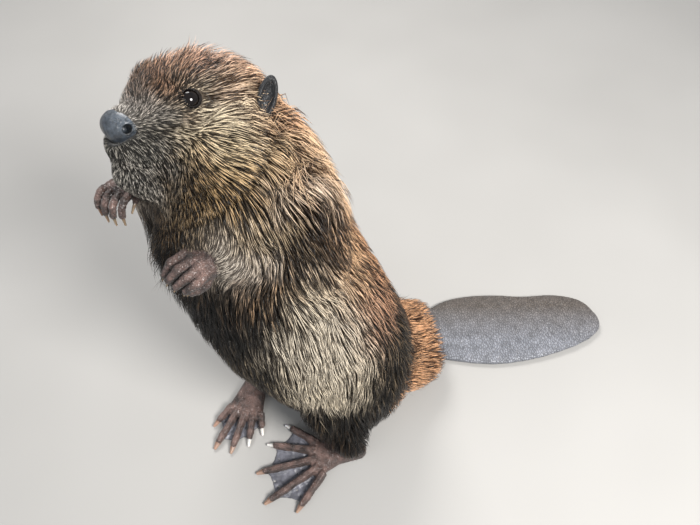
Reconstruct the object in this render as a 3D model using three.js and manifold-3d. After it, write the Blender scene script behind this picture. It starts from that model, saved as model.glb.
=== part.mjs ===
// A North American beaver, standing upright on its hind feet with its flat tail laid out behind it and its
// forepaws held to its chest: a still, life-size model in millimetres, +Z up.
//
// The tail runs along +X and the animal faces between -X and -Y. The surfaces are those of the coat, out to
// the tips of the hair. Each part is a closed solid of its own. A part that stands earlier in the list of
// parts keeps its whole shape, and each later one is hollowed round it, so neighbours meet with an even gap.
import * as THREE from "three";
import { mergeVertices } from "three/addons/utils/BufferGeometryUtils.js";
import Module from "manifold-3d";

const wasm = await Module();
wasm.setup();

// ---------------------------------------------------------------- driving dimensions

const GAP = 0.3; // clearance between neighbouring parts
const ROD_END = 0.8; // how far the rounded end of a limb length stands out, in its half thickness
const FLOOR_CUT = 60; // depth of the block that trims the soles and the tail flat at Z = 0
const BOX_MIDDLE = { x: 87.1, y: -22.1 }; // middle of the finished model's box, moved to the origin

// Directions of the body. A heading of 0 faces -X and a heading of 90 faces -Y.
const BODY_HEADING = 45;
const HEAD = { nose: [-200, 19, 513], heading: 46, lift: 35, roll: 21 };

// The body's column, from the rump up to the nape: centre, half width, and half depth to back and belly.
const COLUMN = [
  { at: [-16, 2, 10], wide: 100, back: 80, front: 62 },
  { at: [-20, 3, 60], wide: 122, back: 110, front: 92 },
  { at: [-34, 8, 125], wide: 127, back: 115, front: 107 },
  { at: [-62, 12, 205], wide: 127, back: 112, front: 118 },
  { at: [-84, 22, 285], wide: 114, back: 104, front: 118 },
  { at: [-97, 34, 345], wide: 101, back: 94, front: 114 },
  { at: [-106, 48, 400], wide: 90, back: 82, front: 104 },
  { at: [-116, 62, 440], wide: 79, back: 68, front: 84 },
  { at: [-126, 74, 470], wide: 66, back: 52, front: 60 },
];
const NECK_STATION = 6; // where the neck begins

// The head along its own axis: distance behind the tip of the nose, drop, half width, height and depth.
const HEAD_STATIONS = [
  { behind: 6, drop: 12, wide: 17, above: 22, below: 22 },
  { behind: 20, drop: 14, wide: 28, above: 36, below: 38 },
  { behind: 40, drop: 10, wide: 40, above: 52, below: 50 },
  { behind: 64, drop: 4, wide: 53, above: 64, below: 60 },
  { behind: 92, drop: 0, wide: 65, above: 72, below: 68 },
  { behind: 122, drop: 0, wide: 70, above: 70, below: 68 },
  { behind: 146, drop: 0, wide: 67, above: 60, below: 64 },
];
const JAW_STATIONS = [
  { behind: 30, drop: 58, wide: 17, above: 10, below: 11 },
  { behind: 52, drop: 62, wide: 29, above: 16, below: 17 },
  { behind: 80, drop: 60, wide: 42, above: 20, below: 20 },
  { behind: 108, drop: 52, wide: 50, above: 22, below: 24 },
];
const EYE = { behind: 52, out: 38, up: 26, radius: 7.5 };
const EAR = { behind: 118, out: 60, up: 35, tall: 17, wide: 13, thick: 4.5, lean: 20, turn: 50 };
const NOSE_PAD = { behind: 8, up: -3, long: 14, wide: 16.5, high: 15 };

// Limbs, from the shoulder or hip to the wrist or heel, with the half thickness at each joint.
const ARMS = {
  left: {
    joints: [[-46, 4, 424], [-27, -32, 366], [-124, -52, 410]],
    thick: [42, 32, 15],
    hand: { heading: 16, lift: -16, roll: 50, curl: 150 },
  },
  right: {
    joints: [[-140, 90, 404], [-196, 26, 316], [-215, 44, 411]],
    thick: [42, 30, 14],
    hand: { heading: 70, lift: 28, roll: 0, curl: 115 },
  },
};
const LEGS = {
  left: { hip: [24, -36, 118], knee: [-34, -84, 92], ankle: [-19, -123], heading: 13, spread: 42 },
  right: { hip: [-80, 60, 120], knee: [-118, 12, 96], ankle: [-143, -8], heading: 75, spread: 24 },
};
const THIGH = [60, 46];
const SHANK = [38, 22];
const HEEL = { behind: 24, high: 30 }; // where the shank ends, from the ankle

// The hind foot, seen from above with the toes along +X and the first toe on the inner side.
const FOOT = { heel: 34, heelWide: 15, instep: 16, high: 14, sole: 8 };
const TOE_REACH = [76, 91, 105, 108, 83]; // from the front of the ankle to the tip of each toe's flesh
const TOE = { root: 5.6, tip: 4.8, knuckle: 0.9, high: 10, sole: 4.6, clear: 0.8 };
const WEB = { reach: 0.98, sag: 5, thick: 1.5 };
const HIND_CLAW = { long: 18, wide: [3, 3, 4, 4.4, 4], high: 3, sink: 6, up: 4.6, droop: 3 };

// The forepaw: palm, then a thumb on the inner side and four fingers side by side that fold towards the palm.
const PALM = { long: 34, wide: 18, high: 10, wrist: 12, fingersAt: 32, thumbAt: 15, thumbOut: 1.25 };
const FINGER = { long: [16, 26, 29, 28, 23], root: 4.2, tip: 3.5 };
const FORE_CLAW = { long: 12, wide: 2.2, high: 2.4, sink: 4, droop: 3 };

// The tail: a furred base out of the rump, then the scaly paddle.
const TAIL_BASE = [
  { at: [20, 14, 80], wide: 84, above: 70, below: 70 },
  { at: [70, 30, 56], wide: 78, above: 52, below: 54 },
  { at: [115, 58, 34], wide: 62, above: 36, below: 34 },
  { at: [152, 74, 22], wide: 50, above: 20, below: 20 },
];
const PADDLE = {
  start: [112, 66],
  tip: [413, 92],
  steps: 12,
  rootWide: 36,
  wide: 64,
  widest: 0.42, // share of the length at which it is widest
  blunt: 14,
  rootHigh: 26,
  tipHigh: 8,
  middle: 6,
};

// ---------------------------------------------------------------- solids

const v3 = (p) => new THREE.Vector3(...p);
const radians = THREE.MathUtils.degToRad;

// Unit vectors of a heading: forward, and to the animal's left.
const ahead = (heading) => new THREE.Vector3(-Math.cos(radians(heading)), -Math.sin(radians(heading)), 0);
const leftOf = (heading) => new THREE.Vector3(Math.sin(radians(heading)), -Math.cos(radians(heading)), 0);

function solidOf(geometry) {
  const bare = new THREE.BufferGeometry();
  bare.setAttribute("position", geometry.getAttribute("position"));
  bare.setIndex(geometry.index);
  const merged = mergeVertices(bare, 1e-4);
  return new wasm.Manifold(
    new wasm.Mesh({
      numProp: 3,
      vertProperties: new Float32Array(merged.attributes.position.array),
      triVerts: new Uint32Array(merged.index.array),
    }),
  );
}

function geometryOf(solid) {
  const mesh = solid.getMesh();
  const geometry = new THREE.BufferGeometry();
  geometry.setAttribute("position", new THREE.BufferAttribute(mesh.vertProperties, 3));
  geometry.setIndex(new THREE.BufferAttribute(mesh.triVerts, 1));
  return geometry.toNonIndexed();
}

// Smooth value through a list of numbers, at u from 0 to 1.
function through(values, u) {
  const last = values.length - 1;
  const x = Math.min(u * last, last - 1e-9);
  const i = Math.floor(x);
  const t = x - i;
  const [a, b, c, d] = [-1, 0, 1, 2].map((k) => values[Math.min(Math.max(i + k, 0), last)]);
  return b + 0.5 * t * (c - a + t * (2 * a - 5 * b + 4 * c - d + t * (3 * (b - c) + d - a)));
}

// A closed body over rings. A station has its centre, its half width, and its half height above and below.
// The ends are domes of the given lengths, or flat where that is 0. `grow` makes the whole body larger.
function loft(stations, { side, sides = 16, rings = 12, domes = [0, 0], domeRings = 2, grow = 0 }) {
  const curve = new THREE.CatmullRomCurve3(stations.map((s) => v3(s.at)), false, "centripetal");
  const spots = [];
  for (let k = domeRings - 1; k > 0 && domes[0]; k--) spots.push([0, -k / domeRings]);
  for (let k = 0; k <= rings; k++) spots.push([k / rings, 0]);
  for (let k = 1; k < domeRings && domes[1]; k++) spots.push([1, k / domeRings]);
  const points = [];
  const add = (p) => points.push(p.x, p.y, p.z);
  const tangentAt = (u) => curve.getTangent(u);
  const end = (u, sign, length) => curve.getPoint(u).addScaledVector(tangentAt(u), sign * (length + grow));
  for (const [u, beyond] of spots) {
    const along = tangentAt(u);
    const across = side.clone().addScaledVector(along, -side.dot(along)).normalize();
    const up = along.clone().cross(across);
    const length = (beyond < 0 ? domes[0] : domes[1]) + grow;
    // The rings of a dome stand closer together towards its pole.
    const angle = (Math.abs(beyond) * Math.PI) / 2;
    const centre = curve.getPoint(u).addScaledVector(along, Math.sign(beyond) * Math.sin(angle) * length);
    if (!beyond && u === 0 && !domes[0]) centre.addScaledVector(along, -grow);
    if (!beyond && u === 1 && !domes[1]) centre.addScaledVector(along, grow);
    const shrink = Math.cos(angle);
    const size = (key) => (through(stations.map((s) => s[key] ?? s.wide), u) + grow) * shrink;
    const [wide, above, below] = [size("wide"), size("above"), size("below")];
    for (let k = 0; k < sides; k++) {
      const turn = (2 * Math.PI * k) / sides;
      const rise = Math.sin(turn) * (Math.sin(turn) > 0 ? above : below);
      add(centre.clone().addScaledVector(across, Math.cos(turn) * wide).addScaledVector(up, rise));
    }
  }
  const count = spots.length;
  const poles = [count * sides, count * sides + 1];
  add(end(0, -1, domes[0]));
  add(end(1, 1, domes[1]));
  const faces = [];
  for (let r = 0; r + 1 < count; r++)
    for (let k = 0; k < sides; k++) {
      const [a, b] = [r * sides + k, r * sides + ((k + 1) % sides)];
      faces.push(a, b, b + sides, a, b + sides, a + sides);
    }
  for (let k = 0; k < sides; k++) {
    const next = (k + 1) % sides;
    faces.push(poles[0], next, k, poles[1], (count - 1) * sides + k, (count - 1) * sides + next);
  }
  const geometry = new THREE.BufferGeometry();
  geometry.setAttribute("position", new THREE.Float32BufferAttribute(points, 3));
  geometry.setIndex(faces);
  return solidOf(geometry);
}

// The half depth that puts the flat lower side of a ring of `sides` corners this far below its centre.
const flatBelow = (distance, sides) => distance / Math.cos(Math.PI / sides);

// An ellipsoid at a point, with its three half sizes, turned by a quaternion.
function ellipsoid(at, halves, { turn = new THREE.Quaternion(), grow = 0, detail = 8 } = {}) {
  const ball = new THREE.SphereGeometry(1, detail, Math.round(detail * 0.7));
  const scale = new THREE.Vector3(...halves).addScalar(grow);
  ball.applyMatrix4(new THREE.Matrix4().compose(v3(at), turn, scale));
  return solidOf(ball);
}

// A limb length between two joints, with its half thickness at each and rounded ends.
function rod(from, to, thick, side, { grow = 0, sides = 10 } = {}) {
  const stations = [from, to].map((at, i) => ({ at, wide: thick[i] }));
  return loft(stations, { side, sides, rings: 1, domes: thick.map((t) => t * ROD_END), grow });
}

const union = (solids) => solids.reduce((a, b) => a.add(b));

function block(low, high) {
  const size = high.map((x, i) => x - low[i]);
  const box = new THREE.BoxGeometry(...size);
  box.translate(...low.map((x, i) => x + size[i] / 2));
  return solidOf(box);
}
const belowFloor = block([-400, -400, -FLOOR_CUT], [500, 400, 0]);
const onFloor = (solid) => solid.subtract(belowFloor);

// ---------------------------------------------------------------- looks

const look = (color, roughness) => new THREE.MeshStandardMaterial({ color, roughness, metalness: 0 });
const COAT = look(0x6b4a30, 0.75);
const FACE = look(0x7a5a3c, 0.75);
const RUMP = look(0xa8683a, 0.75);
const BARE = look(0x4a3c36, 0.6);
const DARK = look(0x1c1f24, 0.45);
const SCALE = look(0x4b4c50, 0.5);
const CLAW = look(0xd8cdb8, 0.4);
const EYEBALL = look(0x08070a, 0.08);

// ---------------------------------------------------------------- the list of parts

const parts = []; // { name, material, group, make(grow) }, the first keep their whole shape
const addPart = (name, material, group, make) => parts.push({ name, material, group, make });

function groupAt(position, turn = new THREE.Quaternion()) {
  const group = new THREE.Group();
  group.position.copy(v3(position));
  group.quaternion.copy(turn);
  return group;
}

// Turns +X to a heading and +Y to the animal's left, then lifts +X by `lift` and rolls about it.
function facing(heading, lift = 0, roll = 0) {
  const angles = new THREE.Euler(radians(roll), -radians(lift), Math.PI + radians(heading), "ZYX");
  return new THREE.Quaternion().setFromEuler(angles);
}

const beaver = new THREE.Group();
beaver.position.set(-BOX_MIDDLE.x, -BOX_MIDDLE.y, 0);
const trunkGroup = groupAt([0, 0, 0]);

// ---- head, in its own frame: +X out of the nose, +Y to its left, +Z up
const headGroup = groupAt(HEAD.nose, facing(HEAD.heading, HEAD.lift, HEAD.roll));
const LEFT = new THREE.Vector3(0, 1, 0);
for (const [name, s] of [["left", 1], ["right", -1]]) {
  const spot = [-EYE.behind, s * EYE.out, EYE.up];
  const halves = [EYE.radius, EYE.radius, EYE.radius];
  addPart(`eye_${name}`, EYEBALL, headGroup, (grow) => ellipsoid(spot, halves, { grow }));
}
addPart("nose", DARK, headGroup, (grow) => {
  const halves = [NOSE_PAD.long, NOSE_PAD.wide, NOSE_PAD.high];
  return ellipsoid([-NOSE_PAD.behind, 0, NOSE_PAD.up], halves, { grow, detail: 10 });
});
for (const [name, s] of [["left", 1], ["right", -1]])
  addPart(`ear_${name}`, DARK, headGroup, (grow) => {
    const angles = new THREE.Euler(-s * radians(EAR.lean), 0, s * radians(EAR.turn), "ZYX");
    const turn = new THREE.Quaternion().setFromEuler(angles);
    const at = [-EAR.behind, s * EAR.out, EAR.up];
    return ellipsoid(at, [EAR.thick, EAR.wide, EAR.tall], { turn, grow });
  });
addPart("head", FACE, headGroup, (grow) => {
  const skull = alongHead(HEAD_STATIONS, { sides: 16, rings: 7, domes: [40, 10], grow });
  return skull.add(alongHead(JAW_STATIONS, { sides: 10, rings: 3, domes: [20, 10], grow }));
});

function alongHead(stations, options) {
  const places = stations.map(({ behind, drop, ...size }) => ({ at: [-behind, 0, -drop], ...size }));
  return loft(places.reverse(), { side: LEFT, ...options });
}

// ---- forepaws, each in its own frame: +X along the palm, +Y to the animal's left, +Z the back of the paw
for (const [name, s] of [["left", 1], ["right", -1]]) {
  const { heading, lift, roll, curl } = ARMS[name].hand;
  const paw = groupAt(ARMS[name].joints[2], facing(heading, lift, s * roll));
  const fingers = FINGER.long.map((long, i) => {
    const share = i ? (2 * (i - 1)) / 3 - 1 : -PALM.thumbOut;
    const across = s * share * (PALM.wide - FINGER.root);
    const start = new THREE.Vector3(i ? PALM.fingersAt : PALM.thumbAt, across, 0);
    const bend = radians(i ? curl : curl / 2);
    return [0, 1, 2, 3].map((k) => {
      const u = k / 3;
      const at = start.clone();
      at.x += (long * Math.sin(bend * u)) / bend;
      at.z -= (long * (1 - Math.cos(bend * u))) / bend;
      return { at: at.toArray(), wide: THREE.MathUtils.lerp(FINGER.root, FINGER.tip, u) };
    });
  });
  fingers.forEach((stations, i) => {
    const [before, tip] = [v3(stations[2].at), v3(stations[3].at)];
    const out = tip.clone().sub(before).normalize();
    const down = new THREE.Vector3(out.z, 0, -out.x);
    addPart(`claw_fore_${name}_${i + 1}`, CLAW, paw, (grow) => {
      const claw = [0, 0.5, 1].map((u) => {
        const at = tip.clone().addScaledVector(out, u * FORE_CLAW.long - FORE_CLAW.sink * (1 - u));
        const taper = 1 - 0.7 * u;
        return {
          at: at.addScaledVector(down, FORE_CLAW.droop * u * u).toArray(),
          wide: FORE_CLAW.wide * taper,
          above: FORE_CLAW.high * taper,
          below: FORE_CLAW.high * taper,
        };
      });
      return loft(claw, { side: LEFT, sides: 4, rings: 2, grow });
    });
  });
  addPart(`paw_${name}`, BARE, paw, (grow) => {
    const palm = [
      { at: [-6, 0, 0], wide: PALM.wrist },
      { at: [PALM.long * 0.4, 0, 0], wide: PALM.wide, above: PALM.high, below: PALM.high },
      { at: [PALM.long * 0.9, 0, 0], wide: PALM.wide, above: PALM.high * 0.75, below: PALM.high * 0.8 },
    ];
    const solids = [loft(palm, { side: LEFT, sides: 8, rings: 2, domes: [0, 6], grow })];
    for (const stations of fingers)
      solids.push(loft(stations, { side: LEFT, sides: 5, rings: 3, domes: [0, 3], grow }));
    return union(solids);
  });
}

// ---- hind feet, each in its own frame: the ankle over the origin, +X forwards, +Y to the animal's left
for (const [name, s] of [["left", 1], ["right", -1]]) {
  const leg = LEGS[name];
  const foot = groupAt([...leg.ankle, 0], facing(leg.heading));
  const angles = TOE_REACH.map((_, i) => radians(-s * leg.spread * (1 - i / 2)));
  const along = (angle, reach, z) => [Math.cos(angle) * reach, Math.sin(angle) * reach, z];
  TOE_REACH.forEach((reach, i) => {
    const side = new THREE.Vector3(-Math.sin(angles[i]), Math.cos(angles[i]), 0);
    addPart(`claw_hind_${name}_${i + 1}`, CLAW, foot, (grow) => {
      const height = (u) => WEB.thick + GAP + HIND_CLAW.up - HIND_CLAW.droop * u * u;
      const claw = [0, 0.45, 1].map((u) => ({
        at: along(angles[i], reach - HIND_CLAW.sink + u * HIND_CLAW.long, height(u)),
        wide: HIND_CLAW.wide[i] * (1 - 0.65 * u * u),
        above: HIND_CLAW.high * (1 - 0.6 * u),
        below: HIND_CLAW.high * (0.7 - 0.4 * u),
      }));
      return loft(claw, { side, sides: 4, rings: 2, grow });
    });
  });
  // The toes leave the instep where they are just clear of one another, and lie on the web.
  const root = (2 * TOE.root + TOE.clear) / radians(leg.spread / 2);
  TOE_REACH.forEach((reach, i) => {
    const side = new THREE.Vector3(-Math.sin(angles[i]), Math.cos(angles[i]), 0);
    addPart(`toe_${name}_${i + 1}`, BARE, foot, (grow) => {
      const stations = [0, 0.28, 0.52, 0.76, 1].map((u, k) => ({
        at: along(angles[i], THREE.MathUtils.lerp(root, reach, u), WEB.thick + GAP + TOE.sole),
        wide: THREE.MathUtils.lerp(TOE.root, TOE.tip, u) + (k % 2 ? TOE.knuckle : 0),
        above: THREE.MathUtils.lerp(TOE.high, TOE.tip, u),
        below: flatBelow(TOE.sole, 6),
      }));
      return loft(stations, { side, sides: 6, rings: 4, domes: [0, 4], grow });
    });
  });
  addPart(`foot_${name}`, BARE, foot, (grow) => {
    const fan = Math.sin(radians(leg.spread)) * root + TOE.root;
    const below = flatBelow(FOOT.sole, 10);
    const stations = [
      { at: [-FOOT.heel, 0, FOOT.sole], wide: FOOT.heelWide, above: FOOT.high, below },
      { at: [0, 0, FOOT.sole], wide: FOOT.instep, above: FOOT.high, below },
      { at: [root * 0.5, 0, FOOT.sole], wide: (FOOT.instep + fan) / 2, above: FOOT.high * 0.8, below },
      { at: [root, 0, FOOT.sole], wide: fan, above: FOOT.high * 0.4, below },
    ];
    const instep = loft(stations, { side: LEFT, sides: 10, rings: 3, domes: [10, 8], grow });
    return instep.add(web(angles, grow));
  });
}

// The webs between the toes: one thin fan under them, its outer edge drawn in between each pair of toes.
function web(angles, grow) {
  const tips = TOE_REACH.map((reach, i) => {
    const out = reach * WEB.reach;
    return new THREE.Vector2(Math.cos(angles[i]) * out, Math.sin(angles[i]) * out);
  });
  const shape = new THREE.Shape();
  shape.moveTo(0, 0);
  shape.lineTo(tips[0].x, tips[0].y);
  for (let i = 1; i < tips.length; i++) {
    const middle = tips[i - 1].clone().add(tips[i]).multiplyScalar(0.5);
    middle.multiplyScalar(1 - (2 * WEB.sag) / middle.length());
    shape.quadraticCurveTo(middle.x, middle.y, tips[i].x, tips[i].y);
  }
  const options = { depth: WEB.thick + grow, bevelEnabled: false, curveSegments: 4 };
  return solidOf(new THREE.ExtrudeGeometry(shape, options));
}

// ---- limbs, in the body's frame
const bodySide = leftOf(BODY_HEADING);
const UP = new THREE.Vector3(0, 0, 1);
for (const name of ["left", "right"]) {
  const [shoulder, elbow, wrist] = ARMS[name].joints;
  const [top, bend, end] = ARMS[name].thick;
  addPart(`forearm_${name}`, COAT, trunkGroup, (grow) => rod(elbow, wrist, [bend, end], UP, { grow }));
  addPart(`upper_arm_${name}`, COAT, trunkGroup, (grow) => {
    return rod(shoulder, elbow, [top, bend], bodySide, { grow });
  });
}
for (const name of ["left", "right"]) {
  const { hip, knee, ankle, heading } = LEGS[name];
  const forward = ahead(heading);
  const heel = [ankle[0] - forward.x * HEEL.behind, ankle[1] - forward.y * HEEL.behind, HEEL.high];
  addPart(`leg_${name}`, COAT, trunkGroup, (grow) => {
    const shank = rod(knee, heel, SHANK, bodySide, { grow, sides: 8 });
    return onFloor(rod(hip, knee, THIGH, UP, { grow }).add(shank));
  });
}

// ---- tail
const tailSide = new THREE.Vector3(0, -1, 0);
addPart("tail_paddle", SCALE, trunkGroup, (grow) => {
  const [from, to] = [new THREE.Vector2(...PADDLE.start), new THREE.Vector2(...PADDLE.tip)];
  const stations = Array.from({ length: PADDLE.steps + 1 }, (_, k) => {
    const u = k / PADDLE.steps;
    const spot = from.clone().lerp(to, u);
    // Widens from the root to its widest, then rounds off to the tip as a half ellipse.
    const before = THREE.MathUtils.smoothstep(u, -0.1, PADDLE.widest);
    const after = Math.sqrt(Math.max(1 - ((u - PADDLE.widest) / (1 - PADDLE.widest)) ** 2, 0));
    const widening = THREE.MathUtils.lerp(PADDLE.rootWide, PADDLE.wide, before);
    const wide = u < PADDLE.widest ? widening : PADDLE.wide * after;
    const high = THREE.MathUtils.lerp(PADDLE.rootHigh, PADDLE.tipHigh, Math.min(u * 1.3, 1));
    return {
      at: [spot.x, spot.y, PADDLE.middle],
      wide: Math.max(wide, PADDLE.blunt),
      above: high - PADDLE.middle,
      below: PADDLE.middle + 1,
    };
  });
  return onFloor(loft(stations, { side: tailSide, sides: 10, rings: 11, domes: [4, 8], grow }));
});
addPart("tail_base", RUMP, trunkGroup, (grow) => {
  return onFloor(loft(TAIL_BASE, { side: tailSide, sides: 14, rings: 5, domes: [0, 8], grow }));
});

// ---- neck and trunk
const columnPart = (from, to, domes, rings) => (grow) => {
  const stations = COLUMN.slice(from, to + 1).map(({ at, wide, back, front }) => {
    return { at, wide, above: back, below: front };
  });
  return onFloor(loft(stations, { side: bodySide, sides: 16, rings, domes, grow }));
};
addPart("neck", COAT, trunkGroup, columnPart(NECK_STATION, COLUMN.length - 1, [0, 20], 3));
addPart("trunk", COAT, trunkGroup, columnPart(0, NECK_STATION, [12, 0], 8));

// ---------------------------------------------------------------- carving and placing

beaver.add(trunkGroup);
for (const part of parts) if (part.group.parent !== beaver) beaver.add(part.group);
beaver.updateMatrixWorld(true);

const largest = (solid) => solid.decompose().reduce((a, b) => (a.volume() > b.volume() ? a : b));
const overlaps = (a, b) => [0, 1, 2].every((i) => a.min[i] < b.max[i] && b.min[i] < a.max[i]);
const placed = [];
for (const part of parts) {
  const toWorld = part.group.matrixWorld;
  let solid = part.make(0).transform(toWorld.toArray());
  for (const earlier of placed)
    if (overlaps(solid.boundingBox(), earlier.boundingBox())) solid = solid.subtract(earlier);
  placed.push(part.make(GAP).transform(toWorld.toArray()));
  solid = largest(solid).transform(toWorld.clone().invert().toArray());
  const mesh = new THREE.Mesh(geometryOf(solid), part.material);
  mesh.name = part.name;
  part.group.add(mesh);
}

export default beaver;
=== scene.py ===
import math

import bpy
import numpy as np
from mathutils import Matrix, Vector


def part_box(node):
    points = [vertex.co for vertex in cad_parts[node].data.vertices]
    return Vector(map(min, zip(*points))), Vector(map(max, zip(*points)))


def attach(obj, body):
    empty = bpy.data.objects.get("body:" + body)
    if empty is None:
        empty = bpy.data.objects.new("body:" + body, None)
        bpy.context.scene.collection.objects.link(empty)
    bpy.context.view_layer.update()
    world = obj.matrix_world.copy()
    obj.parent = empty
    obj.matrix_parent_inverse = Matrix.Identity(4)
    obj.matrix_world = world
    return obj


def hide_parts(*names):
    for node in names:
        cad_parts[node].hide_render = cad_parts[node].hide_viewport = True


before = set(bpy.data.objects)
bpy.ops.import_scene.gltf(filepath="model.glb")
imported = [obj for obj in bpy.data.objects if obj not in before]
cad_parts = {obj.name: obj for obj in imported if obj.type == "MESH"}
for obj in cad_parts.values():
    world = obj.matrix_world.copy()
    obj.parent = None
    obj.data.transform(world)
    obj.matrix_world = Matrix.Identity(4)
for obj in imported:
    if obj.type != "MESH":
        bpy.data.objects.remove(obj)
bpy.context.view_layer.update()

import openvdb
from mathutils import Vector, kdtree

MM = 0.001
SIDES = (("left", 1), ("right", -1))
SEED = 20240611
rng = np.random.default_rng(SEED)

# ---------------------------------------------------------------- places

ROW_ORIGIN = np.array([87.1, -22.1, 0.0])  # the row frame starts here in the solids' own measure


def row(x, y, z=0.0):
    """A place in the solids' own measure, in the row frame, in millimetres."""
    return np.array([x, y, z], float) - ROW_ORIGIN


def turn(heading, lift=0.0, roll=0.0):
    """Columns: forward, the animal's left, up. A heading of 0 faces -X and one of 90 faces -Y."""
    h, l, r = math.pi + math.radians(heading), math.radians(lift), math.radians(roll)
    about_z = np.array([[math.cos(h), -math.sin(h), 0], [math.sin(h), math.cos(h), 0], [0, 0, 1]])
    about_y = np.array([[math.cos(l), 0, -math.sin(l)], [0, 1, 0], [math.sin(l), 0, math.cos(l)]])
    about_x = np.array([[1, 0, 0], [0, math.cos(r), -math.sin(r)], [0, math.sin(r), math.cos(r)]])
    return about_z @ about_y @ about_x


class Axes:
    """A local frame: where it starts and how it is turned."""

    def __init__(self, origin, matrix):
        self.origin, self.matrix = np.asarray(origin, float), matrix

    def out(self, p):
        return np.asarray(p, float) @ self.matrix.T + self.origin

    def into(self, p):
        return (np.asarray(p, float) - self.origin) @ self.matrix


HEAD = Axes(row(-200, 19, 513), turn(46, 35, 21))
BODY_SIDE = turn(45)[:, 1]
COLUMN_FOOT = row(-28, 6, 20)
COLUMN_TOP = row(-110, 52, 415)

# ---------------------------------------------------------------- the camera

LENS_AT = row(0, -340, 850)
PITCH = math.radians(57)
IMAGE_WIDTH = 700
FOCAL = 570.0  # in pixels of that width
SENSOR = 36.0

# ---------------------------------------------------------------- distances


def norm(v):
    return v / np.maximum(np.linalg.norm(v, axis=-1, keepdims=True), 1e-9)


def smoothstep(x, low, high):
    t = np.clip((x - low) / (high - low), 0, 1)
    return t * t * (3 - 2 * t)


def apart(p, at):
    """How far each place is from one place."""
    return np.linalg.norm(p - at, axis=-1)


def bell(p, at, reach):
    """1 at a place, falling to 0.37 at that reach."""
    return np.exp(-((p - at) ** 2).sum(axis=-1) / reach**2)


def weight_of(p, at, reach):
    """How much a mark or a stroke counts, never quite 0."""
    away = ((p - at) ** 2).sum(axis=1) / reach**2
    return np.exp(-away) + 1e-4 / (1 + away)


def join(a, b, soft):
    """Smooth union of two distances."""
    h = np.clip(0.5 + 0.5 * (b - a) / soft, 0, 1)
    return b + (a - b) * h - soft * h * (1 - h)


def cut(a, b, soft):
    """a with b taken out of it, smoothly."""
    return -join(-a, b, soft)


def ball(p, at, radius):
    return apart(p, np.asarray(at, np.float32)) - radius


def egg(p, at, halves, matrix=None):
    """An ellipsoid; the distance is true near its surface."""
    q = p - np.asarray(at, np.float32)
    if matrix is not None:
        q = q @ matrix.astype(np.float32)
    halves = np.asarray(halves, np.float32)
    k = np.linalg.norm(q / halves, axis=-1)
    slope = np.linalg.norm(q / halves**2, axis=-1)
    return k * (k - 1) / np.maximum(slope, 1e-6)


def limb(p, a, b, thick_a, thick_b):
    """A rounded cone between two points."""
    a, b = np.asarray(a, np.float32), np.asarray(b, np.float32)
    ab = b - a
    t = np.clip((p - a) @ ab / float(ab @ ab), 0, 1)
    return np.linalg.norm(p - a - t[..., None] * ab, axis=-1) - (thick_a + (thick_b - thick_a) * t)


def as_left(q):
    """Places of the head's frame, those on its right as their mirror on its left."""
    return np.concatenate([q[..., :1], np.abs(q[..., 1:2]), q[..., 2:]], axis=-1)


def waves(p, size, seed, count=7):
    """Smooth noise of about unit spread, with features of the given size."""
    r = np.random.default_rng(seed)
    total = np.zeros(p.shape[:-1])
    for _ in range(count):
        direction = norm(r.normal(size=3)) / (size * r.uniform(0.6, 1.5))
        total += np.sin(2 * math.pi * (p @ direction + r.uniform()))
    return total / math.sqrt(count / 2)


class Field:
    """Signed distances on a box of voxels, in millimetres."""

    def __init__(self, low, high, voxel):
        self.voxel = voxel
        self.low = np.floor(np.asarray(low) / voxel) * voxel
        self.shape = tuple(int(n) for n in np.ceil((np.asarray(high) - self.low) / voxel) + 1)
        self.value = None

    def points(self):
        axes = [self.low[i] + self.voxel * np.arange(n, dtype=np.float32) for i, n in enumerate(self.shape)]
        return np.stack(np.meshgrid(*axes, indexing="ij"), axis=-1).astype(np.float32)

    def level_set(self, points, triangles, band):
        """Distances to a closed mesh, true within the band."""
        grid = openvdb.FloatGrid.createLevelSetFromPolygons(
            ((points - self.low) / self.voxel).astype(np.float32),
            triangles=triangles.astype(np.uint32),
            transform=openvdb.createLinearTransform(1.0),
            halfWidth=band / self.voxel,
        )
        values = np.full(self.shape, band / self.voxel, np.float32)
        grid.copyToArray(values)
        return values * self.voxel

    def surface(self, level=0.0):
        """Points and quads where the value is `level`, facing outwards."""
        grid = openvdb.FloatGrid(float(self.value.max()) + 1.0)
        grid.copyFromArray(np.ascontiguousarray(self.value, dtype=np.float32))
        points, quads = grid.convertToQuads(level)
        points = points * self.voxel + self.low
        quads = quads.astype(np.int64)
        a, b, c = points[quads[:, 0]], points[quads[:, 1]], points[quads[:, 2]]
        facing = np.cross(b - a, c - a)
        if (facing * self.gradient((a + b + c) / 3)).sum() < 0:
            quads = quads[:, ::-1]
        return points, quads

    def sample(self, p):
        q = (np.asarray(p) - self.low) / self.voxel
        q = np.clip(q, 0, np.array(self.shape) - 1.001)
        i = q.astype(np.int64)
        f = q - i
        total = 0.0
        for dx in (0, 1):
            for dy in (0, 1):
                for dz in (0, 1):
                    weight = np.abs(1 - dx - f[..., 0]) * np.abs(1 - dy - f[..., 1]) * np.abs(1 - dz - f[..., 2])
                    total = total + weight * self.value[i[..., 0] + dx, i[..., 1] + dy, i[..., 2] + dz]
        return total

    def slope(self, p):
        p = np.asarray(p)
        step = np.eye(3) * self.voxel
        return np.stack([self.sample(p + s) - self.sample(p - s) for s in step], axis=-1) / (2 * self.voxel)

    def gradient(self, p):
        return norm(self.slope(p))

    def hold(self, p, height):
        """p moved along the surface's normal to that height over it."""
        for _ in range(2):
            slope = self.slope(p)
            steepness = np.maximum((slope**2).sum(axis=-1), 0.2)
            p = p + slope * ((height - self.sample(p)) / steepness)[..., None]
        return p


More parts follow.
